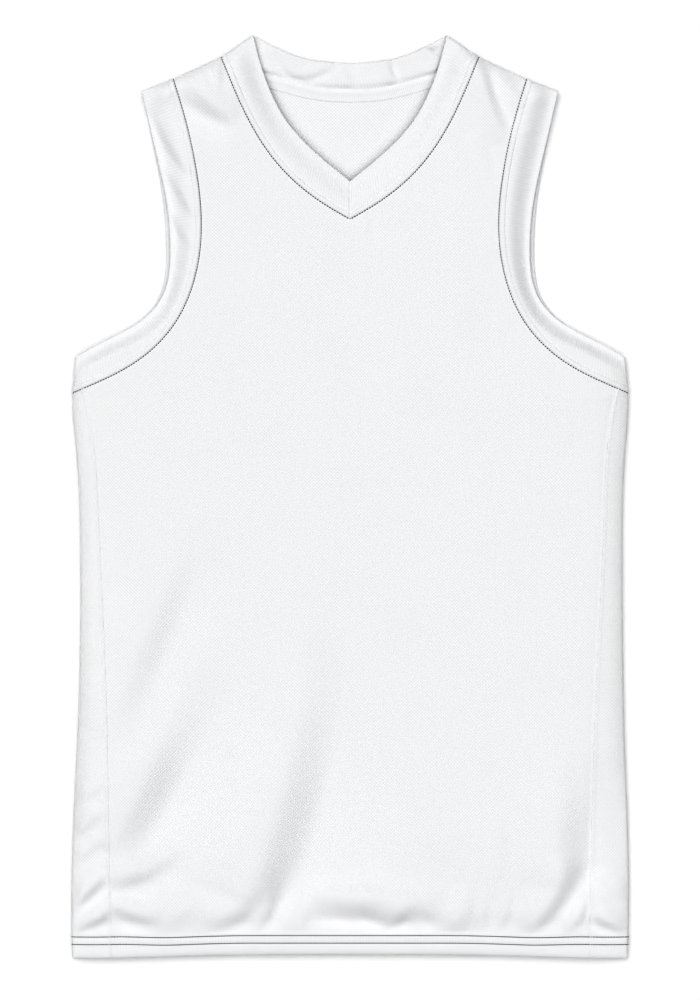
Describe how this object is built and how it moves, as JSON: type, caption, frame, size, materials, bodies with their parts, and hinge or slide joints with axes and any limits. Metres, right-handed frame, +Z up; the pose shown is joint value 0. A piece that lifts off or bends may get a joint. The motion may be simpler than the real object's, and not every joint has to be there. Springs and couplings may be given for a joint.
{
  "type": "basketball jersey",
  "caption": "Sleeveless V-neck basketball jersey in white mesh knit, laid flat, with neck and armhole bands, side panels and a turned hem.",
  "frame": {"origin": "on the surface the jersey lies on, under the middle of its bounding box", "axes": "+Y towards the neck, +Z up out of the front, +X to the right of the laid out jersey as seen from above"},
  "size_m": [0.483, 0.8, 0.0124],
  "materials": {
    "front_panel": "matte white mesh knit",
    "back_panel": "matte white mesh knit",
    "side_panels": "matte white mesh knit",
    "bands": "matte white mesh knit, doubled",
    "tape": "matte white tape"
  },
  "bodies": {
    "root": {"front_panel": "front_panel", "back_panel": "back_panel", "side_panel_left": "side_panels", "side_panel_right": "side_panels", "armband_left": "bands", "armband_right": "bands", "neckband": "bands", "neck_tape": "tape"}
  },
  "joints": []
}
